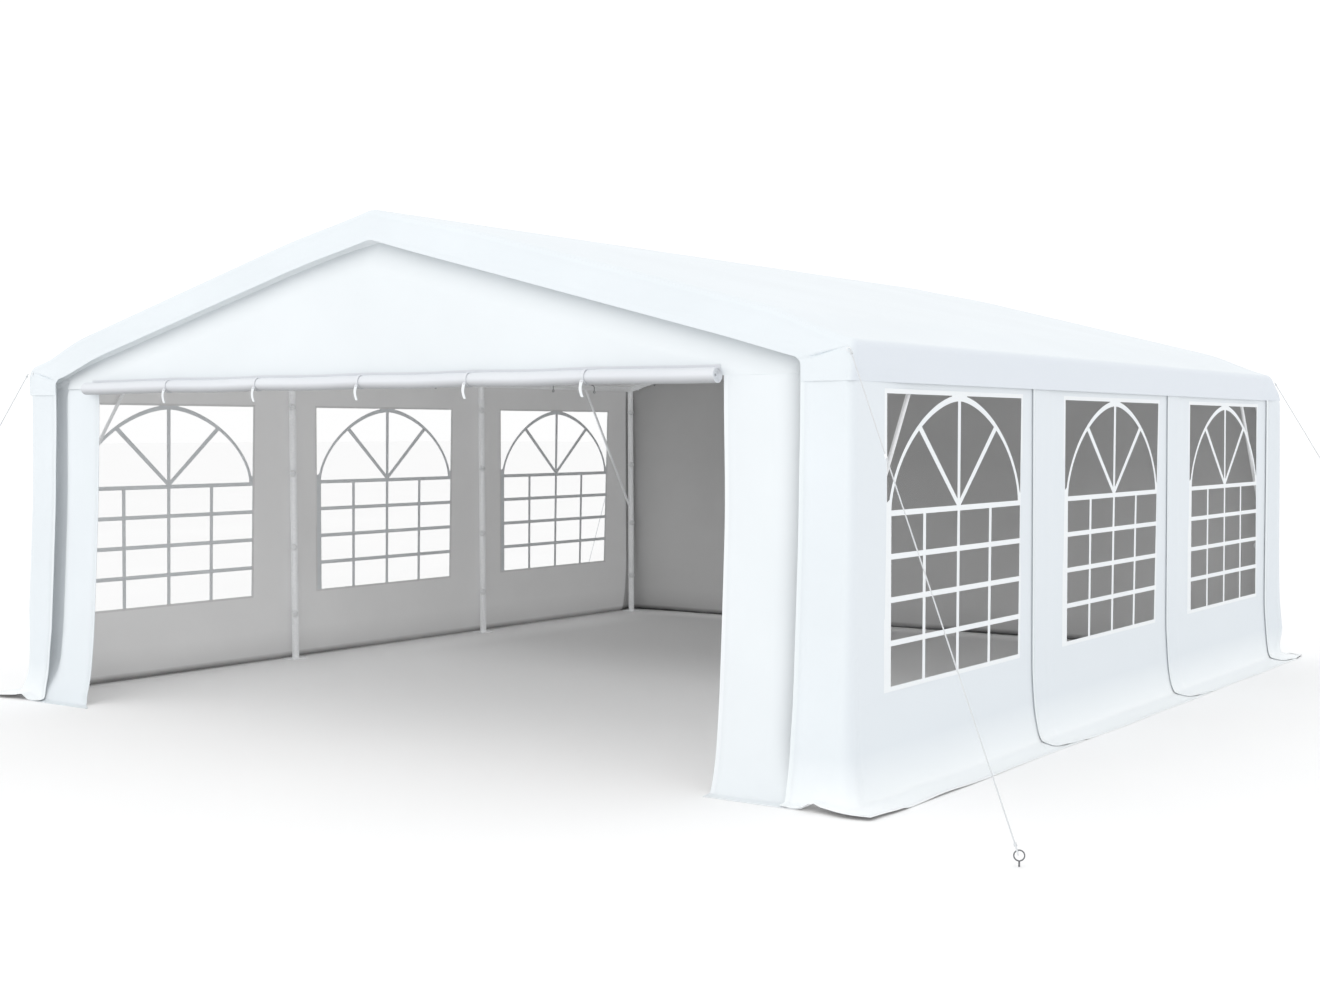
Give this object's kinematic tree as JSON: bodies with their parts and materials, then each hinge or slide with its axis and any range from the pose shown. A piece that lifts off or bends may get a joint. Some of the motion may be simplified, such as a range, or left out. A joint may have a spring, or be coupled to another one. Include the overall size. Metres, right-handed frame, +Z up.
{
  "type": "marquee tent",
  "caption": "White frame marquee with a gabled roof, arched windows along both sides, a closed back, a rolled-up front wall and guy ropes to ground pegs.",
  "frame": {"origin": "on the ground under the middle of the ridge", "axes": "+Z up, -Y out through the open front, +X to the right for someone who looks at the front"},
  "size_m": [8.1726, 7.1296, 2.8204],
  "materials": {
    "white_sheet": "woven PE sheet, satin",
    "clear_film": "clear film",
    "galvanised_steel": "galvanised",
    "white_rope": "braided rope",
    "dark_steel": "dull steel"
  },
  "bodies": {
    "root": {"back_wall": "white_sheet", "door_roll": "white_sheet", "eave_rail_left": "galvanised_steel", "eave_rail_right": "galvanised_steel", "front_gable_panel": "white_sheet", "front_strip_left": "white_sheet", "front_strip_right": "white_sheet", "ground_peg_back_left": "dark_steel", "ground_peg_back_right": "dark_steel", "ground_peg_front_left": "dark_steel", "ground_peg_front_right": "dark_steel", "guy_rope_back_left": "white_rope", "guy_rope_back_right": "white_rope", "guy_rope_front_left": "white_rope", "guy_rope_front_right": "white_rope", "knee_brace_back_left": "galvanised_steel", "knee_brace_back_right": "galvanised_steel", "knee_brace_front_left": "galvanised_steel", "knee_brace_front_right": "galvanised_steel", "post_left_1": "galvanised_steel", "post_left_2": "galvanised_steel", "post_left_3": "galvanised_steel", "post_left_4": "galvanised_steel", "post_right_1": "galvanised_steel", "post_right_2": "galvanised_steel", "post_right_3": "galvanised_steel", "post_right_4": "galvanised_steel", "rafter_left_1": "galvanised_steel", "rafter_left_2": "galvanised_steel", "rafter_left_3": "galvanised_steel", "rafter_left_4": "galvanised_steel", "rafter_right_1": "galvanised_steel", "rafter_right_2": "galvanised_steel", "rafter_right_3": "galvanised_steel", "rafter_right_4": "galvanised_steel", "ridge_rail": "galvanised_steel", "roof_cover": "white_sheet", "side_wall_left_1": "white_sheet", "side_wall_left_2": "white_sheet", "side_wall_left_3": "white_sheet", "side_wall_right_1": "white_sheet", "side_wall_right_2": "white_sheet", "side_wall_right_3": "white_sheet", "window_film_left_1": "clear_film", "window_film_left_2": "clear_film", "window_film_left_3": "clear_film", "window_film_right_1": "clear_film", "window_film_right_2": "clear_film", "window_film_right_3": "clear_film"}
  },
  "joints": []
}
